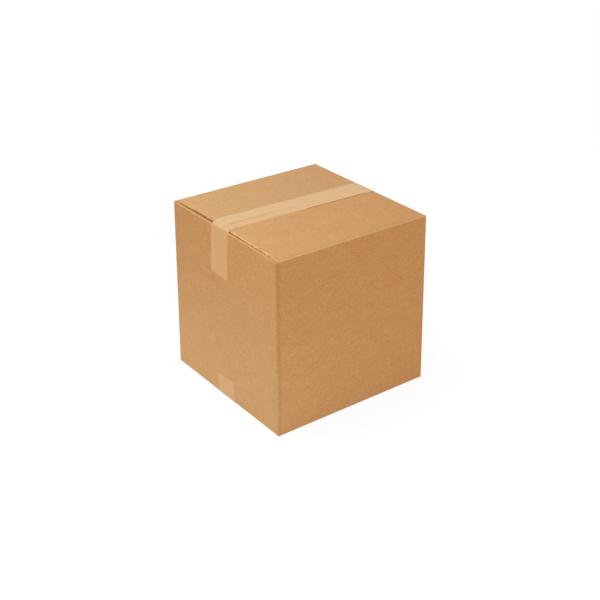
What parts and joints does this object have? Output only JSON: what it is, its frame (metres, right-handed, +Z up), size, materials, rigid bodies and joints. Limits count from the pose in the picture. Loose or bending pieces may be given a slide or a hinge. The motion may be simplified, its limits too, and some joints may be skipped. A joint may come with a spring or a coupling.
{
  "type": "cardboard box",
  "caption": "Closed cube-shaped carton of folded corrugated board, with its top and bottom flaps taped shut, for shipping and storage.",
  "frame": {"origin": "middle of the box on the surface that it stands on, which is the underside of the bottom tape", "axes": "+Z up, X along the taped seams, +X towards the end whose rear corner is glued, -Y towards the plain front panel"},
  "size_m": [0.3114, 0.311, 0.3183],
  "materials": {
    "board": "matte kraft board",
    "tape": "satin buff packing tape"
  },
  "bodies": {
    "root": {"carton": "board", "top_tape": "tape", "bottom_tape": "tape"}
  },
  "joints": []
}
